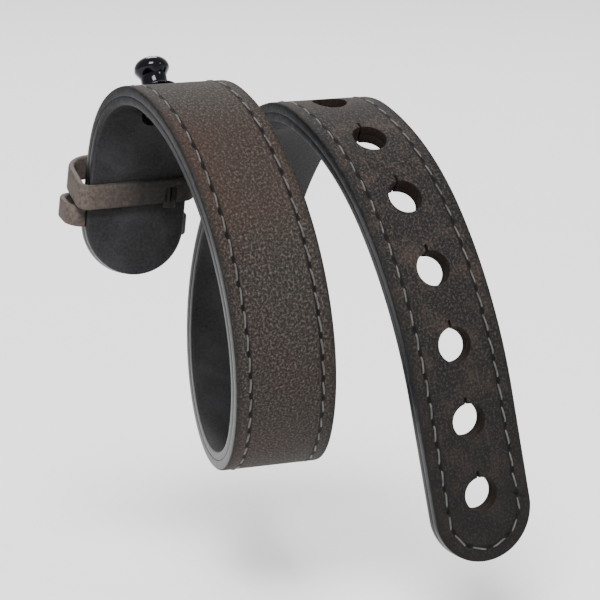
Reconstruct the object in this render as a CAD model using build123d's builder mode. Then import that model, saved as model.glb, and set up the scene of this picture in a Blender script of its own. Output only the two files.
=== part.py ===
"""Two-ply leather wrap strap, coiled in an open helix and closed by a ball stud in a punched hole.

The strap is cut flat and straight, then wound on a cylinder that isn't round: its course is seen
along X, in the YZ plane, as straight runs and bends that meet without a corner. The strap crosses
that course at a small angle, so each turn lies beside the one before it.

A place on the strap has three numbers: along (from the tab's end), across (from the centre line)
and height (from the middle of the two plies, outwards). The origin is the stud's seat: the point
where its axis meets the grain side. +Z is up and +X is the way in which the coil advances.
"""

from build123d import *
import os
from math import cos, degrees, pi, radians, sin, tan

# The strap
strap_width = 20.0
outer_thickness = 2.0
lining_thickness = 1.8
lead_angle = 9.0

# The course: the angle of the tab's end from +Y, then the straight and the bends (radius, turn)
tab_angle = 82.0
tab_straight = 20.0
bends = [
    (24.0, 14.5),
    (11.5, 49.0),
    (16.0, 50.5),
    (29.0, 25.5),
    (40.0, 93.5),
    (26.0, 64.5),
    (31.5, 88.0),
    (49.5, 30.5),
    (17.5, 57.0),
    (42.5, 40.0),
    (64.0, 31.0),
]
tongue_straight = 32.0

# Where the leather gives: the stand-in for its flex is a slot across both plies
tab_crease = 46.0
tongue_crease = 236.0
crease_gap = 1.4

# Punched holes in the tongue, each with a slit towards the stud
hole_count = 7
hole_diameter = 6.6
hole_pitch = 14.6
first_hole_from_tip = 13.3
slit_length = 1.3
slit_width = 0.4

# Ball stud: a post with a seat flange, a neck and a ball, on a screw from the lining side
stud_along = 37.0
flange_diameter = 8.2
flange_rim = 0.45
flange_height = 1.2
flange_foot_reach = 0.55
flange_foot_rise = 0.2
neck_diameter = 5.1
neck_top = 3.0
ball_diameter = 6.9
ball_middle = 4.5
stud_height = 6.9
boss_diameter = 4.4
screw_diameter = 2.6
screw_reach = 2.4
screw_head_diameter = 7.6
screw_head_thickness = 1.1
screw_head_chamfer = 0.3
screw_slot_width = 1.0
screw_slot_depth = 0.5
screw_clearance = 0.02
bore_clearance = 0.08
seat_clearance = 0.06

# Keepers: a loop sewn in between the plies on the grain side, and a floating ring above it
keeper_thickness = 1.2
fixed_keeper_width = 4.0
fixed_keeper_along = 10.5
fixed_keeper_room = 6.4
fixed_keeper_left_bulge = 2.4
fixed_keeper_right_bulge = 0.4
fixed_keeper_tilt = 15.0
fixed_keeper_tuck = 2.6
floating_keeper_width = 4.6
floating_keeper_along = 17.5
floating_keeper_room = 6.4
floating_keeper_tilt = 24.0
floating_keeper_roll = 10.0
keeper_lap_across = 6.0
keeper_lap_width = 2.4
keeper_lap_drop = 1.0
keeper_left_clearance = 1.2
keeper_right_clearance = 0.45
keeper_face_clearance = 0.75
keeper_tuck_clearance = 0.02
keeper_corner = 4.4
keeper_front_corner = 1.9

# Lockstitch along both edges and round the tongue's end
stitch_inset = 2.7
stitch_pitch = 4.4
stitch_length = 3.3
thread_diameter = 0.6
thread_sink = 0.2

total_thickness = outer_thickness + lining_thickness
grain = total_thickness / 2
flesh = -total_thickness / 2
ply_joint = flesh + lining_thickness
skew = radians(lead_angle)
half_reach = strap_width / 2 / cos(skew)


class Run:
    """One straight or bend of the course, from its start point and heading, in YZ."""

    def __init__(self, start, length, y, z, heading, radius=None):
        self.start = start
        self.length = length
        self.end = start + length
        self.y = y
        self.z = z
        self.heading = heading
        self.radius = radius

    def heading_at(self, distance):
        """Heading in radians at a distance along the course."""
        if self.radius is None:
            return self.heading
        return self.heading + (distance - self.start) / self.radius

    def at(self, distance):
        """The point (y, z) at a distance along the course."""
        if self.radius is None:
            gone = distance - self.start
            return self.y + gone * cos(self.heading), self.z + gone * sin(self.heading)
        a = self.heading
        b = self.heading_at(distance)
        y = self.y + self.radius * (sin(b) - sin(a))
        return y, self.z + self.radius * (cos(a) - cos(b))


def lay_out_course():
    """Joins the tab's straight, the bends and the tongue's straight end to end."""
    runs = [Run(0.0, tab_straight, 0.0, 0.0, radians(tab_angle))]
    for radius, turn in bends:
        last = runs[-1]
        y, z = last.at(last.end)
        length = radius * radians(turn)
        runs.append(Run(last.end, length, y, z, last.heading_at(last.end), radius))
    last = runs[-1]
    y, z = last.at(last.end)
    runs.append(Run(last.end, tongue_straight, y, z, last.heading_at(last.end)))
    return runs


course = lay_out_course()
course_length = course[-1].end
strap_length = course_length / cos(skew)


def run_at(distance):
    """The run that holds a distance along the course."""
    for run in course:
        if distance <= run.end:
            return run
    return course[-1]


def place(along, across=0.0, height=0.0):
    """The point (x, y, z) of a place on the strap, before the origin is moved."""
    distance = along * cos(skew) - across * sin(skew)
    run = run_at(distance)
    y, z = run.at(distance)
    heading = run.heading_at(distance)
    x = along * sin(skew) + across * cos(skew)
    return Vector(x, y + height * sin(heading), z - height * cos(heading))


origin = place(stud_along, 0.0, grain)


def strap_plane(along, across=0.0, height=0.0, turn=0.0):
    """A plane on the strap: x runs along the strap, turned by turn degrees, and z points outwards."""
    distance = along * cos(skew) - across * sin(skew)
    heading = run_at(distance).heading_at(distance)
    slant = skew + radians(turn)
    lengthwise = Vector(sin(slant), cos(slant) * cos(heading), cos(slant) * sin(heading))
    outwards = Vector(0, sin(heading), -cos(heading))
    return Plane(place(along, across, height) - origin, x_dir=lengthwise, z_dir=outwards)


def course_plane(run, distance, centred):
    """A plane at a distance along the course: on the bend's axis if centred, or on the strap."""
    heading = run.heading_at(distance)
    outwards = Vector(0, sin(heading), -cos(heading))
    y, z = run.at(distance)
    point = Vector(distance * tan(skew), y, z) - origin
    if centred:
        return Plane(point - outwards * run.radius, x_dir=outwards, z_dir=(1, 0, 0))
    return Plane(point, x_dir=(1, 0, 0), z_dir=outwards * -1)


def bent_piece(run, start, end, low, high):
    """Part of one ply round a bend: a ring sector, trimmed by the strap's two slanting edges."""
    turn = (end - start) / run.radius
    rise = (end - start) * tan(skew)
    middle = run.radius + (low + high) / 2
    depth = high - low
    with BuildPart() as piece:
        with BuildSketch(Plane.XZ):
            with Locations((middle, rise / 2)):
                Rectangle(depth, rise + 2 * strap_width)
        revolve(axis=Axis.Z, revolution_arc=degrees(turn))
        with BuildLine():
            path = Helix(pitch=2 * pi * run.radius * tan(skew), height=rise, radius=run.radius)
        with BuildSketch(Plane.XZ):
            with Locations((middle, 0)):
                Rectangle(2 * depth, 2 * half_reach)
        sweep(path=path, is_frenet=True, mode=Mode.INTERSECT)
    return course_plane(run, start, centred=True).location * piece.part


def flat_point(along, across, from_distance):
    """A place on a straight run as (x, y) of its own plane."""
    x = along * sin(skew) + across * cos(skew) - from_distance * tan(skew)
    return x, along * cos(skew) - across * sin(skew) - from_distance


def straight_piece(run, end_centre, joint_distance, low, high):
    """Part of one ply on a straight run that ends in a half circle."""
    half = strap_width / 2
    corners = [flat_point(end_centre, side * half, run.start) for side in (1, -1)]
    for side in (-1, 1):
        edge_x = side * half_reach + (joint_distance - run.start) * tan(skew)
        corners.append((edge_x, joint_distance - run.start))
    with BuildPart() as piece:
        with BuildSketch(course_plane(run, run.start, centred=False).offset(-high)):
            Polygon(*corners, align=None)
            with Locations(flat_point(end_centre, 0, run.start)):
                Circle(half)
        extrude(amount=high - low)
    return piece.part


def ply_pieces(start, end, low, high):
    """All pieces of one ply between two distances along the course."""
    pieces = []
    for run in course:
        first = max(run.start, start)
        last = min(run.end, end)
        if last <= first:
            continue
        if run.radius is not None:
            pieces.append(bent_piece(run, first, last, low, high))
        elif run is course[0]:
            pieces.append(straight_piece(run, strap_width / 2, last, low, high))
        else:
            centre = strap_length - strap_width / 2
            pieces.append(straight_piece(run, centre, first, low, high))
    return pieces


# The strap's three stretches, parted at the two creases
half_gap = crease_gap / 2
tab_span = (0.0, tab_crease - half_gap)
loop_span = (tab_crease + half_gap, tongue_crease - half_gap)
tongue_span = (tongue_crease + half_gap, course_length)

hole_places = []
for number in range(hole_count):
    hole_places.append(strap_length - first_hole_from_tip - number * hole_pitch)
hole_planes = [strap_plane(along) for along in hole_places]
stud_plane = strap_plane(stud_along)
tuck_planes = []
for side in (1, -1):
    tuck_centre = side * (strap_width - fixed_keeper_tuck) / 2
    tuck_planes.append(strap_plane(fixed_keeper_along, tuck_centre, ply_joint))


def cut_holes():
    """Punches the tongue's holes and slits through the ply that is being built."""
    with BuildSketch(*hole_planes) as outline:
        Circle(hole_diameter / 2)
        with Locations((-(hole_diameter + slit_length) / 2, 0)):
            Rectangle(slit_length + slit_width, slit_width)
    extrude(outline.sketch, amount=total_thickness, both=True, mode=Mode.SUBTRACT)


def cut_stud_hole():
    """Drills the stud's hole through the ply that is being built."""
    with BuildSketch(stud_plane) as outline:
        Circle(boss_diameter / 2 + bore_clearance)
    extrude(outline.sketch, amount=total_thickness, both=True, mode=Mode.SUBTRACT)


def cut_tuck_pockets():
    """Leaves room between the plies for the fixed keeper's two ends."""
    slope = keeper_thickness * tan(radians(fixed_keeper_tilt))
    pocket = fixed_keeper_width + slope + 2 * keeper_tuck_clearance
    with BuildSketch(*tuck_planes) as outline:
        Rectangle(pocket, fixed_keeper_tuck)
    depth = keeper_thickness / 2 + keeper_tuck_clearance
    extrude(outline.sketch, amount=depth, both=True, mode=Mode.SUBTRACT)


os.makedirs("parts", exist_ok=True)

# Outer leather
with BuildPart() as outer_leather_tab:
    add(ply_pieces(*tab_span, ply_joint, grain))
    cut_stud_hole()
    cut_tuck_pockets()
outer_leather_tab.part.label = "outer_leather_tab"
export_step(outer_leather_tab.part, "parts/outer_leather_tab.step")

with BuildPart() as outer_leather_loop:
    add(ply_pieces(*loop_span, ply_joint, grain))
outer_leather_loop.part.label = "outer_leather_loop"
export_step(outer_leather_loop.part, "parts/outer_leather_loop.step")

with BuildPart() as outer_leather_tongue:
    add(ply_pieces(*tongue_span, ply_joint, grain))
    cut_holes()
outer_leather_tongue.part.label = "outer_leather_tongue"
export_step(outer_leather_tongue.part, "parts/outer_leather_tongue.step")

# Lining leather
with BuildPart() as lining_tab:
    add(ply_pieces(*tab_span, flesh, ply_joint))
    cut_stud_hole()
    cut_tuck_pockets()
lining_tab.part.label = "lining_tab"
export_step(lining_tab.part, "parts/lining_tab.step")

with BuildPart() as lining_loop:
    add(ply_pieces(*loop_span, flesh, ply_joint))
lining_loop.part.label = "lining_loop"
export_step(lining_loop.part, "parts/lining_loop.step")

with BuildPart() as lining_tongue:
    add(ply_pieces(*tongue_span, flesh, ply_joint))
    cut_holes()
lining_tongue.part.label = "lining_tongue"
export_step(lining_tongue.part, "parts/lining_tongue.step")


def section_plane(along):
    """A plane across the tab: x runs across the strap, y outwards and z along it."""
    plane = strap_plane(along)
    return Plane(plane.origin, x_dir=plane.y_dir, z_dir=plane.x_dir)


def slanted_plane(along, height, tilt, roll=0.0):
    """A plane across the tab, higher behind than in front by tilt and to the right by roll."""
    square = section_plane(along)
    normal = square.z_dir - square.y_dir * tan(radians(tilt)) - square.x_dir * tan(radians(roll))
    return Plane(square.origin + square.y_dir * height, x_dir=square.x_dir, z_dir=normal)


def trim_keeper(plane, width, along):
    """Trims the keeper being built to its width, between two slanted planes."""
    reach = width / 2 * plane.z_dir.dot(section_plane(along).z_dir)
    split(bisect_by=plane.offset(reach), keep=Keep.BOTTOM)
    split(bisect_by=plane.offset(-reach), keep=Keep.TOP)


# Fixed keeper: a loop whose two ends are tucked between the plies, pulled to the left
with BuildPart() as keeper_fixed:
    left_wall = strap_width / 2 + fixed_keeper_left_bulge + keeper_thickness / 2
    right_wall = strap_width / 2 + fixed_keeper_right_bulge + keeper_thickness / 2
    crown = grain + fixed_keeper_room + keeper_thickness / 2
    mouth = strap_width / 2 - fixed_keeper_tuck + keeper_tuck_clearance
    with BuildSketch(section_plane(fixed_keeper_along)):
        with BuildLine():
            FilletPolyline(
                (-mouth, ply_joint),
                (-left_wall, ply_joint),
                (-left_wall, crown),
                (right_wall, crown),
                (right_wall, ply_joint),
                (mouth, ply_joint),
                radius=[keeper_front_corner, keeper_corner, keeper_corner, keeper_front_corner],
            )
        trace(line_width=keeper_thickness)
    extrude(amount=fixed_keeper_width + crown, both=True)
    slanted = slanted_plane(fixed_keeper_along, ply_joint, fixed_keeper_tilt)
    trim_keeper(slanted, fixed_keeper_width, fixed_keeper_along)
keeper_fixed.part.label = "keeper_fixed"
export_step(keeper_fixed.part, "parts/keeper_fixed.step")

# Floating keeper: a lapped ring, lower in front than behind and higher at the right
with BuildPart() as keeper_floating:
    left_wall = strap_width / 2 + keeper_left_clearance + keeper_thickness / 2
    right_wall = strap_width / 2 + keeper_right_clearance + keeper_thickness / 2
    face = flesh - keeper_face_clearance - keeper_thickness / 2
    crown = grain + floating_keeper_room + keeper_thickness / 2
    with BuildSketch(section_plane(floating_keeper_along)):
        with BuildLine():
            FilletPolyline(
                (-left_wall, face),
                (-left_wall, crown),
                (right_wall, crown),
                (right_wall, face),
                close=True,
                radius=[keeper_front_corner, keeper_corner, keeper_corner, keeper_front_corner],
            )
        trace(line_width=keeper_thickness)
    extrude(amount=floating_keeper_width + left_wall + crown, both=True)
    slanted = slanted_plane(floating_keeper_along, 0.0, floating_keeper_tilt, floating_keeper_roll)
    trim_keeper(slanted, floating_keeper_width, floating_keeper_along)
    slope_drop = -face * tan(radians(floating_keeper_tilt))
    roll_drop = -keeper_lap_across * tan(radians(floating_keeper_roll))
    lap_reach = floating_keeper_width / 2 + slope_drop + roll_drop + keeper_lap_drop
    with BuildSketch(section_plane(floating_keeper_along)):
        with Locations((keeper_lap_across, face)):
            Rectangle(keeper_lap_width, keeper_thickness)
    extrude(amount=-lap_reach)
keeper_floating.part.label = "keeper_floating"
export_step(keeper_floating.part, "parts/keeper_floating.step")

# Ball stud
stud_seat = Plane(origin=(0, 0, 0), x_dir=stud_plane.x_dir, z_dir=stud_plane.z_dir)
stud_section = Plane(origin=(0, 0, 0), x_dir=stud_seat.x_dir, z_dir=stud_seat.y_dir * -1)
stud_axis = Axis((0, 0, 0), stud_seat.z_dir)
hollow_radius = min(run.radius for run in course[1:4]) + flesh
head_radius = screw_head_diameter / 2
head_sag = hollow_radius - (hollow_radius**2 - head_radius**2) ** 0.5
head_top = -total_thickness - head_sag - seat_clearance
head_bottom = head_top - screw_head_thickness
boss_bottom = head_top + seat_clearance

with BuildPart() as stud_post:
    with BuildSketch(stud_section):
        with BuildLine():
            foot = seat_clearance
            Polyline(
                (0, boss_bottom),
                (boss_diameter / 2, boss_bottom),
                (boss_diameter / 2, foot),
                (flange_diameter / 2, foot),
                (flange_diameter / 2, foot + flange_rim),
            )
            ThreePointArc(
                (flange_diameter / 2, foot + flange_rim),
                (neck_diameter / 2 + flange_foot_reach, foot + flange_rim + flange_foot_rise),
                (neck_diameter / 2, flange_height),
            )
            Polyline(
                (neck_diameter / 2, flange_height),
                (neck_diameter / 2, neck_top),
                (ball_diameter / 2, ball_middle),
            )
            Spline(
                (ball_diameter / 2, ball_middle),
                (0, stud_height),
                tangents=[(0, 1), (-1, 0)],
            )
            Line((0, stud_height), (0, boss_bottom))
        make_face()
    revolve(axis=stud_axis)
    with BuildSketch(stud_seat.offset(boss_bottom)):
        Circle(screw_diameter / 2 + screw_clearance)
    extrude(amount=screw_reach - boss_bottom, mode=Mode.SUBTRACT)
stud_post.part.label = "stud_post"
export_step(stud_post.part, "parts/stud_post.step")

with BuildPart() as stud_screw:
    with BuildSketch(stud_seat.offset(head_bottom)):
        Circle(head_radius)
    extrude(amount=screw_head_thickness)
    underside = stud_screw.faces().filter_by(GeomType.PLANE).sort_by(stud_axis)[0]
    chamfer(underside.edges(), screw_head_chamfer)
    with BuildSketch(stud_seat.offset(head_bottom)):
        Circle(screw_diameter / 2)
    extrude(amount=screw_reach - screw_clearance - head_bottom)
    with BuildSketch(stud_seat.offset(head_bottom)):
        Rectangle(screw_head_diameter, screw_slot_width)
    extrude(amount=screw_slot_depth, mode=Mode.SUBTRACT)
stud_screw.part.label = "stud_screw"
export_step(stud_screw.part, "parts/stud_screw.step")


def edge_rows(start, end):
    """Stitch places along both edges between two distances along the strap."""
    places = []
    count = int((end - start) / stitch_pitch)
    first = (start + end - (count - 1) * stitch_pitch) / 2
    for number in range(count):
        for side in (1, -1):
            across = side * (strap_width / 2 - stitch_inset)
            places.append((first + number * stitch_pitch, across, 0.0))
    return places


def tip_arc(centre, facing):
    """Stitch places round a half-round end; facing is 1 for the tongue and -1 for the tab."""
    reach = strap_width / 2 - stitch_inset
    count = round(pi * reach / stitch_pitch)
    places = []
    for number in range(count):
        angle = pi * (number + 0.5) / count - pi / 2
        along = centre + facing * reach * cos(angle)
        places.append((along, reach * sin(angle), 90 + facing * degrees(angle)))
    return places


def sew(places):
    """Adds one short length of thread at each stitch place to the piece being built."""
    planes = []
    height = grain + thread_diameter / 2 - thread_sink
    for along, across, turn in places:
        planes.append(strap_plane(along, across, height, turn))
    with Locations(*planes):
        Cylinder(thread_diameter / 2, stitch_length, rotation=(0, 90, 0))


crease_reach = strap_width / 2 * tan(skew) + crease_gap
tab_seam_end = tab_crease / cos(skew) - crease_reach
loop_seam = (tab_crease / cos(skew) + crease_reach, tongue_crease / cos(skew) - crease_reach)
tongue_seam_start = tongue_crease / cos(skew) + crease_reach
tip_centre = strap_length - strap_width / 2

with BuildPart() as thread_tab:
    sew(edge_rows(strap_width / 2, tab_seam_end) + tip_arc(strap_width / 2, -1))
thread_tab.part.label = "thread_tab"
export_step(thread_tab.part, "parts/thread_tab.step")

with BuildPart() as thread_loop:
    sew(edge_rows(*loop_seam))
thread_loop.part.label = "thread_loop"
export_step(thread_loop.part, "parts/thread_loop.step")

with BuildPart() as thread_tongue:
    sew(edge_rows(tongue_seam_start, tip_centre) + tip_arc(tip_centre, 1))
thread_tongue.part.label = "thread_tongue"
export_step(thread_tongue.part, "parts/thread_tongue.step")

for built in (outer_leather_tab, outer_leather_loop, outer_leather_tongue,
              lining_tab, lining_loop, lining_tongue, keeper_fixed, keeper_floating,
              stud_post, stud_screw, thread_tab, thread_loop, thread_tongue):
    print(built.part.label, len(built.part.solids()), round(built.part.volume, 1))
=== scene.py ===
# %% [markdown]
# A leather wrap strap: two plies glued back to back, stitched along their edges, wound in an open
# coil and closed by a ball stud. The coil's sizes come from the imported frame, which is loaded
# first and never moved. Every piece below is built around it, in metres.

# %% Load the frame
from functools import partial
from math import atan2, ceil, cos, exp, hypot, pi, radians, sin, tan

import bmesh
import bpy
from mathutils import Matrix, Vector


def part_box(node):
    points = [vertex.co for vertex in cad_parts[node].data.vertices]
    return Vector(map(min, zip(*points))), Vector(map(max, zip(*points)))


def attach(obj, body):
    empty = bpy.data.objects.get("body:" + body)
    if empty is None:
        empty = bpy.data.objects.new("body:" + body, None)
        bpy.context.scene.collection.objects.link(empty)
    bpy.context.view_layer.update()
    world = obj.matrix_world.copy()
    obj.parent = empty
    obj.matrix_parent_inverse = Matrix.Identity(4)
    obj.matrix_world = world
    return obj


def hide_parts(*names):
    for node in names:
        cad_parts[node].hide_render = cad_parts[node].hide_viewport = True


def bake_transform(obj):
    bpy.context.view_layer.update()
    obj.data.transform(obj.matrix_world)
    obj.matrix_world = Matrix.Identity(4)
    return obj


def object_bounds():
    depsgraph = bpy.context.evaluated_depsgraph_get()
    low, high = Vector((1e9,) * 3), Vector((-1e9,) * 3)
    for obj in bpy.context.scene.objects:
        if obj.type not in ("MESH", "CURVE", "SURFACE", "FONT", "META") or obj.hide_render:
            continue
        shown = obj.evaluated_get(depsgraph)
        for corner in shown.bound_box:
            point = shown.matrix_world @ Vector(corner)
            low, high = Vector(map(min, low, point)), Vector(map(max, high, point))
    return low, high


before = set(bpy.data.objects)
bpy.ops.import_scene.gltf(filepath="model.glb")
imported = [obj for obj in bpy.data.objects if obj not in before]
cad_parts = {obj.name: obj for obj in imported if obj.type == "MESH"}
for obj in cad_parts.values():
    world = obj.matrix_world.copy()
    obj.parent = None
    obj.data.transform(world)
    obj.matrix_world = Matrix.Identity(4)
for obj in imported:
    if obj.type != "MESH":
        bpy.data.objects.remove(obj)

MM = 0.001
cad_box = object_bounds()

# %% [markdown]
# A strap is cut flat and then wound. Here too: each ply is modelled as a flat blank and then laid
# on the coil's course, which is a chain of straight runs and round bends seen along X. Working
# flat keeps every width, hole and stitch at its true size, and the blank's own flat coordinates
# stay behind as a UV map for the leather's grain.

# %% Sizes of the strap
strap_width = 20 * MM
outer_thickness = 2.0 * MM
lining_thickness = 1.8 * MM
lead_angle = radians(9.0)
grain = (outer_thickness + lining_thickness) / 2
flesh = -grain
ply_joint = flesh + lining_thickness
half = strap_width / 2

tab_angle = radians(82.0)
tab_straight = 20.0 * MM
strap_bends = [
    (24.0, 14.5),
    (11.5, 49.0),
    (16.0, 50.5),
    (29.0, 25.5),
    (40.0, 93.5),
    (26.0, 64.5),
    (31.5, 88.0),
    (49.5, 30.5),
    (17.5, 57.0),
    (42.5, 40.0),
    (64.0, 31.0),
]
tongue_straight = 32.0 * MM
stud_along = 37.0 * MM


# %% The course as a chain of runs
class Course:
    """Straight and bent runs end to end, each a list: start, y, z, heading, curvature."""

    def __init__(self, heading, first, bends, last):
        self.runs = []
        self.length = 0.0
        self.extend(first, heading, 0.0)
        for radius, turn in bends:
            self.extend(radius * MM * radians(turn), None, 1 / (radius * MM))
        self.extend(last, None, 0.0)

    def extend(self, length, heading, curvature):
        """Adds one run where the last one ends."""
        y, z, now = self.at(self.length) if self.runs else (0.0, 0.0, heading)
        self.runs.append([self.length, y, z, now, curvature])
        self.length += length

    def at(self, distance):
        """The point (y, z) and the heading at a distance along the course."""
        start, y, z, heading, curvature = [r for r in self.runs if r[0] <= max(distance, 0.0)][-1]
        gone = distance - start
        if curvature == 0.0:
            return y + gone * cos(heading), z + gone * sin(heading), heading
        end = heading + gone * curvature
        y += (sin(end) - sin(heading)) / curvature
        return y, z + (cos(heading) - cos(end)) / curvature, end


course = Course(tab_angle, tab_straight, strap_bends, tongue_straight)
strap_length = course.length / cos(lead_angle)
tip_centre = strap_length - half
print("strap length mm:", round(strap_length / MM, 2))


# %% From the flat strap to the coil
def wind(along, across, height):
    """The point of the coil for a place on the flat strap, before the origin is moved."""
    distance = along * cos(lead_angle) - across * sin(lead_angle)
    y, z, heading = course.at(distance)
    x = along * sin(lead_angle) + across * cos(lead_angle)
    return Vector((x, y + height * sin(heading), z - height * cos(heading)))


stud_seat = wind(stud_along, 0.0, grain)


def place(along, across, height):
    """The point of the coil, measured from the stud's seat as the frame is."""
    return wind(along, across, height) - stud_seat


def directions(along, across=0.0):
    """Lengthwise, crosswise and outward directions at a place on the strap."""
    heading = course.at(along * cos(lead_angle) - across * sin(lead_angle))[2]
    lead = lead_angle
    lengthwise = Vector((sin(lead), cos(lead) * cos(heading), cos(lead) * sin(heading)))
    outward = Vector((0.0, sin(heading), -cos(heading)))
    return lengthwise, outward.cross(lengthwise), outward


low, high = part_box("outer_leather_loop")
print("frame's loop, lowest mm:", [round(c / MM, 2) for c in low])

# %% [markdown]
# The lockstitch runs 2.7 mm inside the edge, all the way round. Its row is measured once, as a
# run along the row and an offset from it, because the groove, the needle holes and the thread
# all follow it. Both long sides start at the middle of the tab's round end.

# %% The stitch row
stitch_inset = 2.7 * MM
row_reach = half - stitch_inset
row_corner = row_reach * pi / 2
row_length = 2 * row_corner + (tip_centre - half)
stitch_count = 80
stitch_pitch = row_length / stitch_count


def row_at(along, across):
    """Run along the stitch row and offset from it, outwards, for a place on the flat strap."""
    side = abs(across)
    if along < half:
        turn = atan2(side, half - along)
        return row_reach * turn, hypot(half - along, side) - row_reach
    if along > tip_centre:
        turn = atan2(along - tip_centre, side)
        run = row_corner + (tip_centre - half) + row_reach * turn
        return run, hypot(along - tip_centre, side) - row_reach
    return row_corner + along - half, side - row_reach


def row_place(run):
    """Along, across and direction of a place on the row's positive side."""
    if run < row_corner:
        turn = run / row_reach
        return half - row_reach * cos(turn), row_reach * sin(turn), pi / 2 - turn
    run -= row_corner
    if run < tip_centre - half:
        return half + run, row_reach, 0.0
    turn = (run - tip_centre + half) / row_reach
    return tip_centre + row_reach * sin(turn), row_reach * cos(turn), -turn


print("stitch pitch mm:", round(stitch_pitch / MM, 3))

# %% [markdown]
# The blank of one ply starts as the outline of the strap: two half circles spun round their
# centres and joined. Insets lay rings along the stitch row, where the leather is drawn in. The
# middle is filled round the punched holes, the sheet is given its thickness, and the rims are
# bevelled while they are still whole.

# %% The flat outline
hole_diameter = 6.6 * MM
hole_count = 7
hole_pitch = 14.6 * MM
first_hole_from_tip = 13.3 * MM
slit_length = 1.3 * MM
slit_width = 0.4 * MM
stud_bore = 4.56 * MM
ring_insets = [1.1, 1.85, 2.3, 2.7, 3.1, 3.55, 4.3]
end_steps = 32
hole_steps = 40
hole_places = [strap_length - first_hole_from_tip - n * hole_pitch for n in range(hole_count)]


def strap_outline(bm):
    """One face with the outline of the whole flat strap."""
    ends = []
    for centre, first in ((half, half), (tip_centre, -half)):
        start = bm.verts.new((centre, first, 0.0))
        bmesh.ops.spin(bm, geom=[start], cent=(centre, 0, 0), axis=(0, 0, 1), angle=pi, steps=end_steps)
        bm.verts.ensure_lookup_table()
        ends.append((start, bm.verts[-1]))
    bm.edges.new((ends[0][1], ends[1][0]))
    bm.edges.new((ends[1][1], ends[0][0]))
    return bmesh.ops.contextual_create(bm, geom=bm.edges[:])["faces"][0]


def punched_loop(bm, along, radius, slit):
    """Edges of a round hole at the strap's middle, with a slit towards the stud if asked."""
    if not slit:
        spot = Matrix.Translation((along, 0, 0))
        ring = bmesh.ops.create_circle(bm, segments=hole_steps, radius=radius, matrix=spot)["verts"]
        return list({edge for vert in ring for edge in vert.link_edges})
    gap = slit_width / 2 / radius
    start = bm.verts.new((along - radius * cos(gap), radius * sin(gap), 0.0))
    turn = 2 * (pi - gap)
    about = {"cent": (along, 0, 0), "axis": (0, 0, -1), "angle": turn, "steps": hole_steps}
    bmesh.ops.spin(bm, geom=[start], **about)
    bm.verts.ensure_lookup_table()
    last = bm.verts[-1]
    step = Vector((-slit_length, 0, 0))
    far = [bm.verts.new(vert.co + step) for vert in (start, last)]
    bm.edges.new((start, far[0]))
    bm.edges.new((far[0], far[1]))
    bm.edges.new((far[1], last))
    ring = [start, last, *far]
    found = {edge for vert in ring for edge in vert.link_edges}
    grown = True
    while grown:
        more = {e for edge in found for vert in edge.verts for e in vert.link_edges} - found
        found |= more
        grown = bool(more)
    return list(found)


# %% One ply as a flat solid
rim_round = 0.5 * MM
joint_round = 0.14 * MM
hole_round = 0.16 * MM
strips_per_stitch = 4
seam_distance = 144.0 * MM
seam_strip = 0.04 * MM


def flat_ply(low, high, holes_round_at_top):
    """The whole flat ply between two heights, with its rims bevelled."""
    bm = bmesh.new()
    middle = strap_outline(bm)
    done = 0.0
    for inset in ring_insets:
        step = inset * MM - done
        bmesh.ops.inset_region(bm, faces=[middle], thickness=step, use_even_offset=True)
        done = inset * MM
    rims = list(middle.edges)
    bmesh.ops.delete(bm, geom=[middle], context="FACES_ONLY")
    for along in hole_places:
        rims += punched_loop(bm, along, hole_diameter / 2, True)
    rims += punched_loop(bm, stud_along, stud_bore / 2, False)
    bmesh.ops.triangle_fill(bm, use_beauty=True, use_dissolve=False, edges=rims)
    bmesh.ops.translate(bm, verts=bm.verts[:], vec=(0, 0, low))
    grown = bmesh.ops.extrude_face_region(bm, geom=bm.faces[:])["geom"]
    top = [g for g in grown if isinstance(g, bmesh.types.BMVert)]
    bmesh.ops.translate(bm, verts=top, vec=(0, 0, high - low))
    bmesh.ops.recalc_face_normals(bm, faces=bm.faces[:])
    for level, outer_round in ((high, rim_round), (low, joint_round)):
        if not holes_round_at_top:
            outer_round = joint_round if level == high else rim_round
        for inner, offset in ((False, outer_round), (True, hole_round)):
            edges = [e for e in bm.edges if is_rim(e, level) and is_inner(e) == inner]
            bmesh.ops.bevel(
                bm,
                geom=edges,
                offset=offset,
                segments=2 if inner else 3,
                profile=0.5,
                affect="EDGES",
                material=-1,
            )
    return bm


def is_rim(edge, level):
    """True for a sharp edge at a height, between a flat side and a wall."""
    if any(abs(vert.co.z - level) > 1e-7 for vert in edge.verts) or len(edge.link_faces) != 2:
        return False
    return edge.calc_face_angle() > 1.0


def is_inner(edge):
    """True for an edge of a hole, well inside the strap's outline."""
    return all(row_at(v.co.x, v.co.y)[1] < -0.5 * MM for v in edge.verts)


# %% [markdown]
# The blank bends only across its rulings, the lines along which a coil is straight. It is cut
# along them in narrow strips, four to a stitch, starting from one end so that each cut only
# meets what is left. Two very thin strips at the underside let the front and the rear piece
# meet there without a change of shade.


# %% Cut along the rulings
def cut_rulings(bm):
    """Splits every face of a flat ply along evenly spaced rulings."""
    step = stitch_pitch * cos(lead_angle) / strips_per_stitch
    cuts = [n * step for n in range(-4, ceil(course.length / step) + 4)]
    cuts = [c for c in cuts if abs(c - seam_distance) > step / 3]
    cuts += [seam_distance + n * seam_strip for n in (-1, 0, 1)]
    normal = Vector((cos(lead_angle), -sin(lead_angle), 0.0))
    left = bm.faces[:]
    for cut in sorted(cuts):
        edges = {e for face in left for e in face.edges}
        verts = {v for e in edges for v in e.verts}
        point = (cut / cos(lead_angle), 0, 0)
        geom = [*left, *edges, *verts]
        made = bmesh.ops.bisect_plane(bm, geom=geom, dist=1e-7, plane_co=point, plane_no=normal)
        faces = [g for g in made["geom"] if isinstance(g, bmesh.types.BMFace)]
        left = [f for f in faces if max(v.co.dot(normal) for v in f.verts) > cut + 1e-6]


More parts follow.
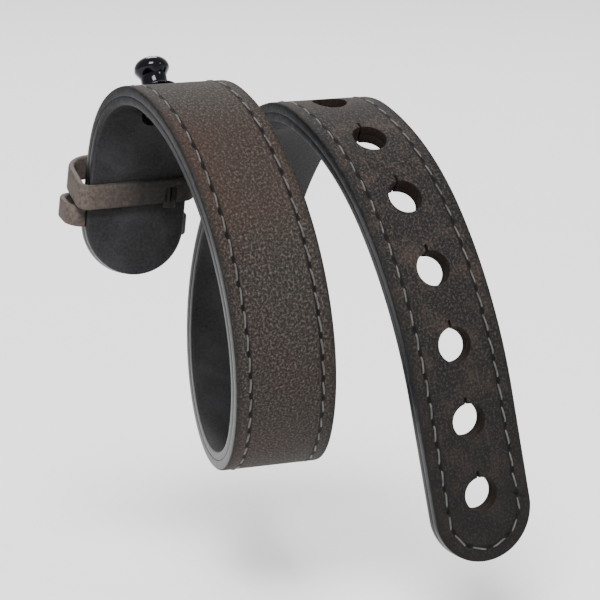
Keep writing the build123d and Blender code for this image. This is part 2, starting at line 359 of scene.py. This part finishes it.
def half_of(bm, front):
    """A copy of a flat ply on one side of the underside seam."""
    part = bm.copy()
    normal = Vector((cos(lead_angle), -sin(lead_angle), 0.0))
    point = (seam_distance / cos(lead_angle), 0, 0)
    beyond = []
    for face in part.faces:
        ahead = (face.calc_center_median() - Vector(point)).dot(normal) > 0
        if ahead == front:
            beyond.append(face)
    bmesh.ops.delete(part, geom=beyond, context="FACES")
    return part


# %% [markdown]
# Before a ply is wound, every corner of every face keeps its flat place in the UV map "cut" and
# its place from the stitch row in "row". The thread draws the leather in, deepest at the needle
# holes, so the grain side sinks a little along the row.

# %% Keep the flat places, sink the row, wind the ply
groove_depth = 0.40 * MM
groove_width = 0.50 * MM
pull_middle = 0.62
pull_swing = 0.38


def sink(along, across):
    """How far the thread draws the grain side in at a place."""
    run, offset = row_at(along, across)
    pull = pull_middle + pull_swing * cos(2 * pi * run / stitch_pitch)
    return groove_depth * pull * exp(-((offset / groove_width) ** 2))


def finish_piece(name, bm, materials):
    """Turns a bmesh into a named object with its materials."""
    mesh = bpy.data.meshes.new(name)
    bm.to_mesh(mesh)
    bm.free()
    for material in materials:
        mesh.materials.append(material)
    mesh.shade_smooth()
    piece = bpy.data.objects.new(name, mesh)
    bpy.context.scene.collection.objects.link(piece)
    return piece


def wound_ply(name, bm, materials, high, grooved):
    """Marks, grooves and winds one half of a flat ply."""
    cut = bm.loops.layers.uv.new("cut")
    row = bm.loops.layers.uv.new("row")
    for face in bm.faces:
        centre = face.calc_center_median()
        flat_side = abs(face.normal.z) > 0.5
        hole_wall = row_at(centre.x, centre.y)[1] < -1.0 * MM
        face.material_index = 0 if flat_side else 2 if hole_wall else 1
        for corner in face.loops:
            spot = corner.vert.co
            corner[cut].uv = (spot.x, spot.y)
            run, offset = row_at(spot.x, spot.y)
            corner[row].uv = (run / stitch_pitch, offset / MM)
    for vert in bm.verts:
        along, across, height = vert.co
        if grooved and height > high - 1e-6:
            height -= sink(along, across)
        vert.co = place(along, across, height)
    return finish_piece(name, bm, materials)


# %% [markdown]
# Materials are procedural. One function turns a hex colour into the linear values that the
# shaders use, and one adds a node with its settings and links.


# %% Colour and node helpers
def linear(code):
    """A hex colour such as 5b504a as linear red, green, blue and alpha."""
    values = [int(code[n:n + 2], 16) / 255 for n in (0, 2, 4)]
    return [v / 12.92 if v <= 0.04045 else ((v + 0.055) / 1.055) ** 2.4 for v in values] + [1.0]


def add_node(tree, kind, inputs=None, stops=None, **settings):
    """Adds a node and returns it.

    Inputs go by name or number. Each is a number, a hex colour, a socket, or a node, which stands
    for the first output that it has in use. Stops are a ramp's places, each with a hex colour or a
    grey level.
    """
    made = tree.nodes.new("ShaderNode" + kind)
    for name, value in settings.items():
        setattr(made, name, value)
    for name, value in (inputs or {}).items():
        if isinstance(value, bpy.types.Node):
            value = [socket for socket in value.outputs if socket.enabled][0]
        if isinstance(value, bpy.types.NodeSocket):
            tree.links.new(value, made.inputs[name])
        else:
            made.inputs[name].default_value = linear(value) if isinstance(value, str) else value
    for number, (spot, code) in enumerate(stops or []):
        elements = made.color_ramp.elements
        element = elements[number] if number < 2 else elements.new(spot)
        element.position = spot
        element.color = linear(code) if isinstance(code, str) else [code, code, code, 1.0]
    return made


def new_material(name):
    """A material with an empty node tree, and the function that adds nodes to it."""
    material = bpy.data.materials.new(name)
    material.use_nodes = True
    material.node_tree.nodes.clear()
    return material, partial(add_node, material.node_tree)


# %% [markdown]
# The outer ply is oiled pull-up leather: a waxed, waterless hide whose colour shifts where it is
# stretched or rubbed. To the eye it is a matt brown grey with a fine speckled grain, cooler and
# warmer patches, and a darker rim. Where the tongue goes in and out of its keepers it has
# darkened, with rubbed brown spots. The pattern lives on the flat UV map, so it follows the hide.

# %% Oiled pull-up leather
speckle = 0.5 * MM
grain_pore = 0.55 * MM
patch = 17 * MM
worn_spot = 5.5 * MM
tongue_dark_from = 205 * MM
tongue_dark_to = 262 * MM
tip_dark_from = 270 * MM
prick_size = (0.72 * stitch_pitch / MM, 1.5, 0.0)


def needle_prick_dents_and_shade(add):
    """White in the long needle pricks between the stitches, black elsewhere; the pricks are dented and
    painted near black as shade.
    """
    row = add("UVMap", uv_map="row")
    limits = {0: row, 1: (0.5, 20.0, 1.0), 2: (-0.5, -20.0, -1.0)}
    nearest = add("VectorMath", limits, operation="WRAP")
    sized = add("VectorMath", {0: nearest, 1: prick_size}, operation="MULTIPLY")
    distance = add("VectorMath", {0: sized}, operation="LENGTH")
    return add("ValToRGB", {0: distance}, [(0.38, 1.0), (0.58, 0.0)])


def pull_up_leather():
    """The outer ply's grain side."""
    material, add = new_material("oiled_pull_up_leather")
    flat = add("UVMap", uv_map="cut")
    along = add("SeparateXYZ", {0: flat}).outputs["X"]
    offset = add("SeparateXYZ", {0: add("UVMap", uv_map="row")}).outputs["Y"]
    size = {"Vector": flat, "Scale": 1 / speckle, "Detail": 3.0, "Roughness": 0.75}
    fine = add("TexNoise", size)
    size = {"Vector": flat, "Scale": 1 / patch, "Detail": 3.0, "Roughness": 0.6, "Distortion": 0.6}
    broad = add("TexNoise", size)
    size = {"Vector": flat, "Scale": 1 / worn_spot, "Detail": 5.0, "Roughness": 0.65}
    spots = add("TexNoise", size)
    tint = add("TexNoise", {"Vector": flat, "Scale": 1 / (2.6 * patch), "Detail": 2.0})

    brown = add("ValToRGB", {0: fine}, [(0.32, "0c0a09"), (0.50, "241e1b"), (0.70, "554b45")])
    cool = add("ValToRGB", {0: fine}, [(0.32, "0c0b0a"), (0.50, "22201d"), (0.70, "4f4b45")])
    patches = add("ValToRGB", {0: broad}, [(0.42, 0.0), (0.66, 0.8)])
    front = add("Mix", {0: patches, 6: brown, 7: cool}, data_type="RGBA")
    warmth = add("ValToRGB", {0: tint}, [(0.50, 0.0), (0.70, 0.35)])
    front = add("Mix", {0: warmth, 6: front, 7: "38261f"}, data_type="RGBA")

    dark = add("ValToRGB", {0: fine}, [(0.34, "060606"), (0.50, "151313"), (0.70, "46403c")])
    worn = add("ValToRGB", {0: fine}, [(0.34, "0f0b09"), (0.70, "4b3f38")])
    rubbed_spots = add("ValToRGB", {0: spots}, [(0.48, 0.0), (0.64, 0.8)])
    tongue = add("Mix", {0: rubbed_spots, 6: dark, 7: worn}, data_type="RGBA")
    ends = {"Value": along, "From Min": tip_dark_from, "From Max": tip_centre}
    handled = add("MapRange", {**ends, "To Max": 0.70})
    tongue = add("Mix", {0: handled, 6: tongue, 7: "0b0a0a"}, data_type="RGBA")
    ends = {"Value": along, "From Min": tongue_dark_from, "From Max": tongue_dark_to}
    base = add("Mix", {0: add("MapRange", ends), 6: front, 7: tongue}, data_type="RGBA")

    from_row = add("MapRange", {"Value": offset, "From Min": -1.0, "From Max": 3.0})
    rim = add("ValToRGB", {0: from_row}, [(0.55, 0.0), (0.90, 0.65)])
    base = add("Mix", {0: rim, 6: base, 7: "0f0e0e"}, data_type="RGBA")
    # Painted shade: a near black line just inside the stitch row stands in for the shadow in the groove
    # beside the thread.
    groove_shade_stops = [(0.09, 0.0), (0.15, 0.9), (0.22, 0.9), (0.29, 0.0)]
    groove_shade = add("ValToRGB", {0: from_row}, groove_shade_stops)
    base = add("Mix", {0: groove_shade, 6: base, 7: "0a0909"}, data_type="RGBA")
    # The needle holes are not cut in the mesh. They are dented in the bump and painted near black as
    # the shade inside them.
    prick_dents_and_shade = needle_prick_dents_and_shade(add)
    base = add("Mix", {0: prick_dents_and_shade, 6: base, 7: "020202"}, data_type="RGBA")

    pores = add("TexVoronoi", {"Vector": flat, "Scale": 1 / grain_pore})
    relief = add("Math", {0: pores, 1: 0.5, 2: fine}, operation="MULTIPLY_ADD")
    relief = add("Math", {0: prick_dents_and_shade, 1: -2.0, 2: relief}, operation="MULTIPLY_ADD")
    bump = add("Bump", {"Strength": 0.6, "Distance": 0.14 * MM, "Height": relief})
    gloss = add("ValToRGB", {0: fine}, [(0.30, 0.66), (0.70, 0.82)])
    finish = {"Base Color": base, "Roughness": gloss, "Normal": bump}
    shader = add("BsdfPrincipled", {**finish, "IOR": 1.45, "Specular IOR Level": 0.18})
    add("OutputMaterial", {"Surface": shader})
    return material


outer_leather = pull_up_leather()

# %% [markdown]
# The lining is smooth black calf, closer in its grain and waxier. Bends lift its surface into
# greyer, softer highlights. The edges of both plies are sealed with edge paint, which dries to
# a slightly glossy slate grey with a faint waver. Inside the punched holes the fibres are bare.


# %% Lining, painted edge and bare hole walls
def lining_calf():
    """The lining's smooth side."""
    material, add = new_material("black_lining_calf")
    flat = add("UVMap", uv_map="cut")
    size = {"Vector": flat, "Scale": 1 / (0.6 * MM), "Detail": 4.0, "Roughness": 0.65}
    fine = add("TexNoise", size)
    size = {"Vector": flat, "Scale": 1 / (8 * MM), "Detail": 4.0, "Roughness": 0.6}
    broad = add("TexNoise", {**size, "Distortion": 0.5})
    creases = add("TexNoise", {"Vector": flat, "Scale": 1 / (2.2 * MM), "Distortion": 1.2})
    base = add("ValToRGB", {0: fine}, [(0.30, "0e0e0f"), (0.70, "242426")])
    greyer = add("ValToRGB", {0: broad}, [(0.45, 0.0), (0.75, 0.55)])
    base = add("Mix", {0: greyer, 6: base, 7: "303032"}, data_type="RGBA")
    relief = add("Math", {0: creases, 1: 0.8, 2: fine}, operation="MULTIPLY_ADD")
    bump = add("Bump", {"Strength": 0.5, "Distance": 0.14 * MM, "Height": relief})
    gloss = add("ValToRGB", {0: broad}, [(0.30, 0.46), (0.70, 0.62)])
    finish = {"Base Color": base, "Roughness": gloss, "Normal": bump}
    shader = add("BsdfPrincipled", {**finish, "IOR": 1.47, "Specular IOR Level": 0.2})
    add("OutputMaterial", {"Surface": shader})
    return material


def edge_paint():
    """Slate grey acrylic edge paint over both plies, with a few rubbed streaks."""
    material, add = new_material("slate_edge_paint")
    spot = add("TexCoord").outputs["Object"]
    waver = add("TexNoise", {"Vector": spot, "Scale": 1 / (1.6 * MM), "Detail": 3.0})
    fine = add("TexNoise", {"Vector": spot, "Scale": 1 / (0.35 * MM), "Detail": 3.0})
    base = add("ValToRGB", {0: waver}, [(0.30, "050507"), (0.55, "0b0c0f"), (0.80, "1b1d24")])
    relief = add("Math", {0: fine, 1: 0.3, 2: waver}, operation="MULTIPLY_ADD")
    bump = add("Bump", {"Strength": 0.5, "Distance": 0.15 * MM, "Height": relief})
    finish = {"Base Color": base, "Roughness": 0.36, "Normal": bump}
    shader = add("BsdfPrincipled", {**finish, "IOR": 1.49, "Specular IOR Level": 0.15})
    add("OutputMaterial", {"Surface": shader})
    return material


def bare_fibres():
    """Punched leather with its fibres showing."""
    material, add = new_material("bare_leather_fibres")
    spot = add("TexCoord").outputs["Object"]
    size = {"Vector": spot, "Scale": 1 / (0.3 * MM), "Detail": 5.0, "Roughness": 0.7}
    fibres = add("TexNoise", size)
    base = add("ValToRGB", {0: fibres}, [(0.30, "080605"), (0.70, "261d18")])
    bump = add("Bump", {"Strength": 0.8, "Distance": 0.15 * MM, "Height": fibres})
    finish = {"Base Color": base, "Roughness": 0.9, "Normal": bump}
    shader = add("BsdfPrincipled", {**finish, "Specular IOR Level": 0.1})
    add("OutputMaterial", {"Surface": shader})
    return material


lining_leather = lining_calf()
painted_edge = edge_paint()
hole_wall = bare_fibres()

# %% [markdown]
# A leather strap bends where the coil's two crests give. Each ply is made in a front half, by the tab,
# and a rear half, by the tongue, which meet on the loop's underside. The table gives each half's
# body and the span across its crest, but no blend is made from it.

# %% Build the plies
blends = {
    "front": ("strap_tab", 0.15, -12.5 * MM, -4.9 * MM, 1),
    "rear": ("strap_tongue", 0.35, -10.7 * MM, 4.9 * MM, -1),
}


def bend_with(piece, end):
    """Bakes a piece's placement into its mesh; its end's blend settings are read, but no blend is made.
    """
    body, slope, first, last, facing = blends[end]
    line = Vector((0.0, facing, slope))
    line /= line.length_squared
    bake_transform(piece)


def build_ply(name, low, high, materials, grooved):
    """Both halves of one ply, in place of its CAD nodes."""
    flat = flat_ply(low, high, grooved)
    cut_rulings(flat)
    for end, part in (("front", "tab"), ("rear", "tongue")):
        bm = half_of(flat, end == "front")
        piece = wound_ply(f"{name}_{end}", bm, materials, high, grooved)
        bend_with(piece, end)
        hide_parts(f"{name}_{part}", f"{name}_loop")
        print(piece.name, "faces:", len(piece.data.polygons))
    flat.free()


outer_materials = [outer_leather, painted_edge, hole_wall]
lining_materials = [lining_leather, painted_edge, hole_wall]
build_ply("outer_leather", ply_joint, grain, outer_materials, True)
build_ply("lining", flesh, ply_joint, lining_materials, False)

# %% [markdown]
# The thread is waxed grey polyester, about a third of a millimetre thick. Each stitch is a short
# length that comes up through one needle hole, lies on the leather and goes down through the
# next. A small cylinder is cut along its length, laid on the row with a slight slant, and its
# ends dive below the grain.


# %% Waxed thread
def waxed_thread():
    """Twisted grey polyester, its strands as slanting bands that are bumped and painted darker between
    the strands as shade.
    """
    material, add = new_material("waxed_polyester_thread")
    strand = add("UVMap", uv_map="strand")
    bands = add("TexWave", {"Vector": strand, "Scale": 1.3, "Distortion": 0.6})
    spot = add("TexCoord").outputs["Object"]
    soiling = add("TexNoise", {"Vector": spot, "Scale": 1 / (1.2 * MM), "Detail": 3.0})
    strand_relief_and_shade = bands.outputs["Fac"]
    # The dark part of the bands is painted shade in the grooves between the twisted strands; the same
    # bands drive the bump.
    base = add("Mix", {0: strand_relief_and_shade, 6: "262523", 7: "56544e"}, data_type="RGBA")
    soiled = add("ValToRGB", {0: soiling}, [(0.42, 0.0), (0.66, 0.75)])
    base = add("Mix", {0: soiled, 6: base, 7: "1e1d1b"}, data_type="RGBA")
    bump = add("Bump", {"Strength": 0.5, "Distance": 0.06 * MM, "Height": strand_relief_and_shade})
    finish = {"Base Color": base, "Roughness": 0.62, "Normal": bump}
    shader = add("BsdfPrincipled", {**finish, "Sheen Weight": 0.15})
    add("OutputMaterial", {"Surface": shader})
    return material


thread_diameter = 0.36 * MM
stitch_length = stitch_pitch * 0.86
stitch_sway = 0.14 * MM
stitch_dive = 0.75 * MM
stitch_lift = -0.02 * MM
stitch_cuts = 6
dive_from = 0.40
waxed = waxed_thread()


def stitch_blank():
    """One straight stitch as a mesh, z along it, cut across so that it can bend."""
    bm = bmesh.new()
    strand = bm.loops.layers.uv.new("strand")
    radius = thread_diameter / 2
    sizes = {"radius1": radius, "radius2": radius, "depth": stitch_length}
    bmesh.ops.create_cone(bm, cap_ends=True, segments=7, **sizes)
    for number in range(1, stitch_cuts + 1):
        point = (0, 0, stitch_length * (number / (stitch_cuts + 1) - 0.5))
        geom = [*bm.verts, *bm.edges, *bm.faces]
        bmesh.ops.bisect_plane(bm, geom=geom, dist=1e-8, plane_co=point, plane_no=(0, 0, 1))
    for face in bm.faces:
        for corner in face.loops:
            spot = corner.vert.co
            turn = atan2(spot.y, spot.x) / (2 * pi)
            corner[strand].uv = (spot.z / MM + turn, turn)
    mesh = bpy.data.meshes.new("stitch_blank")
    bm.to_mesh(mesh)
    bm.free()
    return mesh


def stitch(bm, blank, run, side):
    """Adds one stitch, centred at a run along the row."""
    first = len(bm.verts)
    bm.from_mesh(blank)
    bm.verts.ensure_lookup_table()
    along, across, heading = row_place(run)
    for vert in bm.verts[first:]:
        reach, sideways, height = vert.co.z, vert.co.y, vert.co.x
        share = abs(reach) / (stitch_length / 2)
        drop = stitch_dive * max(0.0, share - dive_from) ** 2 / (1 - dive_from) ** 2
        sideways += stitch_sway * sin(pi * reach / stitch_length)
        spot_along = along + reach * cos(heading) - sideways * sin(heading)
        spot_across = side * (across + reach * sin(heading) + sideways * cos(heading))
        vert.co = place(spot_along, spot_across, grain + stitch_lift - drop + height)


def build_thread(end, part):
    """The stitches of one half, both long sides and the round end."""
    bm = bmesh.new()
    blank = stitch_blank()
    count = 0
    for number in range(stitch_count):
        run = (number + 0.5) * stitch_pitch
        for side in (1, -1):
            along, across, _ = row_place(run)
            distance = along * cos(lead_angle) - side * across * sin(lead_angle)
            if (distance < seam_distance) == (end == "front"):
                stitch(bm, blank, run, side)
                count += 1
    bmesh.ops.recalc_face_normals(bm, faces=bm.faces[:])
    piece = finish_piece(f"thread_{end}", bm, [waxed])
    bend_with(piece, end)
    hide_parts(f"thread_{part}", "thread_loop")
    print(piece.name, "stitches:", count)


build_thread("front", "tab")
build_thread("rear", "tongue")

# %% [markdown]
# Two keepers hold the tongue behind the tab. Each is a narrow strip of the same hide with its
# edges burnished round. A strip is modelled flat as well, with its rims bevelled, and bent round
# the tab along a course of its own. The fixed one has its ends sewn in between the plies. The
# floating one is a closed ring whose front sits lower than its back.

# %% Sizes of the keepers
keeper_thickness = 1.2 * MM
keeper_corner = 4.4 * MM
keeper_front_corner = 1.9 * MM
fixed_width = 4.0 * MM
fixed_along = 10.5 * MM
fixed_room = 6.4 * MM
fixed_left_bulge = 2.4 * MM
fixed_right_bulge = 0.4 * MM
fixed_tilt = radians(15.0)
fixed_tuck = 2.6 * MM
floating_width = 4.6 * MM
floating_along = 17.5 * MM
floating_room = 6.4 * MM
floating_tilt = radians(24.0)
floating_roll = radians(10.0)
left_clearance = 1.2 * MM
right_clearance = 0.45 * MM
face_clearance = 0.75 * MM
lap_across = 6.0 * MM
lap_width = 2.4 * MM
lap_drop = 1.0 * MM
keeper_rim_round = 0.42 * MM
strip_step = 0.5 * MM


lighter_left_from = -3.0 * MM
lighter_left_to = -15.0 * MM


def keeper_leather():
    """The keepers' hide, lighter towards the left."""
    material, add = new_material("keeper_strip_leather")
    spot = add("TexCoord").outputs["Object"]
    size = {"Vector": spot, "Scale": 1 / (0.7 * MM), "Detail": 5.0, "Roughness": 0.65}
    fine = add("TexNoise", size)
    broad = add("TexNoise", {"Vector": spot, "Scale": 1 / (7 * MM), "Distortion": 0.5})
    base = add("ValToRGB", {0: fine}, [(0.30, "0f0d0b"), (0.55, "1c1917"), (0.78, "332d29")])
    shifted = add("ValToRGB", {0: broad}, [(0.45, 0.0), (0.70, 0.4)])
    base = add("Mix", {0: shifted, 6: base, 7: "2a2521"}, data_type="RGBA")
    x = add("SeparateXYZ", {0: spot}).outputs["X"]
    # Lighter towards the left: from x -3 mm to -15 mm the colour is mixed towards a paler tone.
    worn = add("MapRange", {"Value": x, "From Min": lighter_left_from, "From Max": lighter_left_to})
    pale = add("ValToRGB", {0: fine}, [(0.30, "2f2926"), (0.70, "554b45")])
    base = add("Mix", {0: worn, 6: base, 7: pale}, data_type="RGBA")
    pores = add("TexVoronoi", {"Vector": spot, "Scale": 1 / grain_pore})
    relief = add("Math", {0: pores, 1: 0.5, 2: fine}, operation="MULTIPLY_ADD")
    bump = add("Bump", {"Strength": 0.5, "Distance": 0.1 * MM, "Height": relief})
    gloss = add("ValToRGB", {0: fine}, [(0.30, 0.55), (0.70, 0.72)])
    finish = {"Base Color": base, "Roughness": gloss, "Normal": bump}
    shader = add("BsdfPrincipled", {**finish, "IOR": 1.45, "Specular IOR Level": 0.25})
    add("OutputMaterial", {"Surface": shader})
    return material


keeper_hide = keeper_leather()


# %% Bend a strip round the tab
def flat_strip(length, width):
    """A flat strip, x along it, with rounded rims."""
    bm = bmesh.new()
    bmesh.ops.create_cube(bm, size=1.0)
    bmesh.ops.scale(bm, verts=bm.verts[:], vec=(length, width, keeper_thickness))
    bmesh.ops.translate(bm, verts=bm.verts[:], vec=(length / 2, 0, 0))
    rims = [e for e in bm.edges if abs(e.verts[0].co.x - e.verts[1].co.x) > 1e-6]
    bmesh.ops.bevel(
        bm,
        geom=rims,
        offset=keeper_rim_round,
        segments=3,
        profile=0.5,
        affect="EDGES",
        material=-1,
    )
    count = ceil(length / strip_step)
    for number in range(1, count):
        point = (length * number / count, 0, 0)
        geom = [*bm.verts, *bm.edges, *bm.faces]
        bmesh.ops.bisect_plane(bm, geom=geom, dist=1e-8, plane_co=point, plane_no=(1, 0, 0))
    return bm


def bend_strip(bm, route, start, along, level, tilt, roll):
    """Lays a flat strip on a route across the tab, seen along it, sheared by tilt and roll."""
    lengthwise, crosswise, outward = directions(along)
    middle = place(along, 0.0, 0.0)
    for vert in bm.verts:
        distance, shift, height = vert.co
        y, z, heading = route.at(distance)
        across = start[0] + y + height * sin(heading)
        out = start[1] + z - height * cos(heading)
        shift += (out - level) * tan(tilt) + across * tan(roll)
        vert.co = middle + crosswise * across + outward * out + lengthwise * shift


def keeper_route(first, back, front, crown, last):
    """A route round the tab: front run, up the right side, over the back and down the left."""
    corner = keeper_corner
    turn = keeper_front_corner
    rise = crown - front - turn - corner
    legs = [
        ("straight", first),
        ("bend", turn),
        ("straight", rise),
        ("bend", corner),
        ("straight", back - 2 * corner),
        ("bend", corner),
        ("straight", rise),
        ("bend", turn),
        ("straight", last),
    ]
    route = Course(0.0, 0.0, [], 0.0)
    for kind, size in legs:
        length = size * pi / 2 if kind == "bend" else size
        route.extend(length, None, 1 / size if kind == "bend" else 0.0)
    return route


def build_keeper(name, body, bm):
    """Names, rides and replaces one keeper."""
    bmesh.ops.recalc_face_normals(bm, faces=bm.faces[:])
    piece = finish_piece(f"{name}_leather", bm, [keeper_hide])
    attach(piece, body)
    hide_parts(name)
    print(piece.name, "faces:", len(piece.data.polygons))


# %% The fixed keeper
left_wall = half + fixed_left_bulge + keeper_thickness / 2
right_wall = half + fixed_right_bulge + keeper_thickness / 2
crown = grain + fixed_room + keeper_thickness / 2
mouth = half - fixed_tuck
ends = [wall - keeper_front_corner - mouth for wall in (right_wall, left_wall)]
route = keeper_route(ends[0], left_wall + right_wall, ply_joint, crown, ends[1])
strip = flat_strip(route.length, fixed_width)
bend_strip(strip, route, (mouth, ply_joint), fixed_along, ply_joint, fixed_tilt, 0.0)
build_keeper("keeper_fixed", "strap_tab", strip)

# %% The floating keeper
left_wall = half + left_clearance + keeper_thickness / 2
right_wall = half + right_clearance + keeper_thickness / 2
face = flesh - face_clearance - keeper_thickness / 2
crown = grain + floating_room + keeper_thickness / 2
ends = [wall - keeper_front_corner for wall in (right_wall, left_wall)]
route = keeper_route(ends[0], left_wall + right_wall, face, crown, ends[1])
strip = flat_strip(route.length, floating_width)
bend_strip(strip, route, (0.0, face), floating_along, 0.0, floating_tilt, floating_roll)
bmesh.ops.remove_doubles(strip, verts=strip.verts[:], dist=1e-6)
lap = flat_strip(lap_width, floating_width)
bmesh.ops.translate(lap, verts=lap.verts[:], vec=(lap_across - lap_width / 2, -lap_drop, 0))
bend_strip(lap, route, (0.0, face), floating_along, 0.0, floating_tilt, floating_roll)
lap_mesh = bpy.data.meshes.new("lap")
lap.to_mesh(lap_mesh)
strip.from_mesh(lap_mesh)
build_keeper("keeper_floating", "keeper_ring", strip)

# %% [markdown]
# The ball stud is turned brass with black nickel plate, polished. A lathe makes it, so a spin
# does too: half of its section is drawn in the plane of its axis and spun a full turn.

# %% Black nickel
lengthwise, _, outward = directions(stud_along)


def black_nickel():
    """Polished dark plate. It mirrors the room, with faint polishing haze."""
    material, add = new_material("polished_black_nickel")
    spot = add("TexCoord").outputs["Object"]
    haze = add("TexNoise", {"Vector": spot, "Scale": 1 / (1.5 * MM), "Detail": 3.0})
    gloss = add("ValToRGB", {0: haze}, [(0.30, 0.06), (0.70, 0.13)])
    finish = {"Base Color": "26262a", "Metallic": 1.0, "Roughness": gloss}
    add("OutputMaterial", {"Surface": add("BsdfPrincipled", finish)})
    return material


nickel = black_nickel()

# %% Turn the stud
stud_profile = [
    (2.2, -3.75),
    (2.2, 0.06),
    (3.95, 0.06),
    (4.1, 0.14),
    (4.1, 0.42),
    (4.0, 0.52),
    (3.6, 0.60),
    (3.1, 0.70),
    (2.75, 0.88),
    (2.58, 1.10),
    (2.55, 1.35),
    (2.55, 2.95),
    (2.62, 3.08),
    (3.32, 4.12),
    (3.42, 4.35),
]
ball_top = 6.9 * MM
ball_middle = 4.55 * MM
ball_radius = 3.45 * MM
ball_steps = 14
ball_crown_power = 0.92
ball_side_power = 0.78
turn_steps = 72


def turn_stud():
    """Spins the stud's half section about its axis."""
    bm = bmesh.new()
    points = [(r * MM, z * MM) for r, z in stud_profile]
    for number in range(ball_steps + 1):
        angle = pi / 2 * number / ball_steps
        rise = (ball_top - ball_middle) * sin(angle) ** ball_crown_power
        reach = ball_radius * cos(angle) ** ball_side_power if number < ball_steps else 0.0
        points.append((reach, ball_middle + rise))
    verts = [bm.verts.new(outward * z + lengthwise * r) for r, z in points]
    foot = bm.verts.new(outward * points[0][1])
    edges = [bm.edges.new(pair) for pair in zip([foot, *verts], verts)]
    bmesh.ops.spin(
        bm,
        geom=[foot, *verts, *edges],
        cent=(0, 0, 0),
        axis=outward,
        angle=2 * pi,
        steps=turn_steps,
        use_merge=True,
    )
    bmesh.ops.remove_doubles(bm, verts=bm.verts[:], dist=1e-6)
    bmesh.ops.recalc_face_normals(bm, faces=bm.faces[:])
    return bm


stud = finish_piece("ball_stud_post", turn_stud(), [nickel])
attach(stud, "ball_stud")
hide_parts("stud_post")
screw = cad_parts["stud_screw"]
screw.data.materials.clear()
screw.data.materials.append(nickel)
print("stud faces:", len(stud.data.polygons))

# %% [markdown]
# The floor is plain and pale, and low enough for the tongue to swing above it. A strong soft light
# stands high at the front left, a small weak one at the front right and a softer one behind, in a
# bright even room. The lens is long, because the coil keeps its shape best from a distance.

# %% Floor, lights and camera
floor_gap = 15 * MM
floor_reach = 3.0
room_brightness = 0.85
camera_azimuth = -22.53
camera_elevation = 12.77
camera_distance = 566.8 * MM
floor_mesh = bmesh.new()
bmesh.ops.create_grid(floor_mesh, x_segments=1, y_segments=1, size=floor_reach)
bmesh.ops.translate(floor_mesh, verts=floor_mesh.verts[:], vec=(0, 0, cad_box[0].z - floor_gap))
pale, add = new_material("pale_floor")
plain = add("BsdfPrincipled", {"Base Color": "f6f6f6", "Roughness": 0.9})
add("OutputMaterial", {"Surface": plain})
floor = finish_piece("floor", floor_mesh, [pale])

world = bpy.data.worlds.new("studio")
bpy.context.scene.world = world
world.use_nodes = True
world.node_tree.nodes["Background"].inputs[0].default_value = (1.0, 1.0, 1.0, 1.0)
world.node_tree.nodes["Background"].inputs[1].default_value = room_brightness

centre = Vector((22.82, -17.47, -39.68)) * MM


def away(azimuth, elevation):
    """Direction from the object to a viewer; azimuth 0 is in front, at -Y."""
    a, e = radians(azimuth), radians(elevation)
    return Vector((sin(a) * cos(e), -cos(a) * cos(e), sin(e)))


def aim(holder, azimuth, elevation, distance):
    """Places a light or a camera round the object's middle and points it there."""
    back = away(azimuth, elevation)
    holder.location = centre + back * distance
    holder.rotation_mode = "QUATERNION"
    holder.rotation_quaternion = (-back).to_track_quat("-Z", "Y")
    bpy.context.scene.collection.objects.link(holder)


def soft_light(name, azimuth, elevation, distance, size, power):
    """An area light that faces the object, with its size in metres and its power in watts."""
    lamp = bpy.data.lights.new(name, "AREA")
    lamp.size = size
    lamp.energy = power
    aim(bpy.data.objects.new(name, lamp), azimuth, elevation, distance)


soft_light("key", -28, 52, 1.2, 0.5, 24.0)
soft_light("fill", 45, 25, 1.2, 0.2, 2.5)
soft_light("back", 165, 45, 1.2, 0.5, 10.0)

camera_data = bpy.data.cameras.new("camera")
camera_data.lens = 175.5
camera_data.sensor_width = 36.0
camera_data.clip_start = 0.05
camera = bpy.data.objects.new("camera", camera_data)
aim(camera, camera_azimuth, camera_elevation, camera_distance)
bpy.context.scene.camera = camera
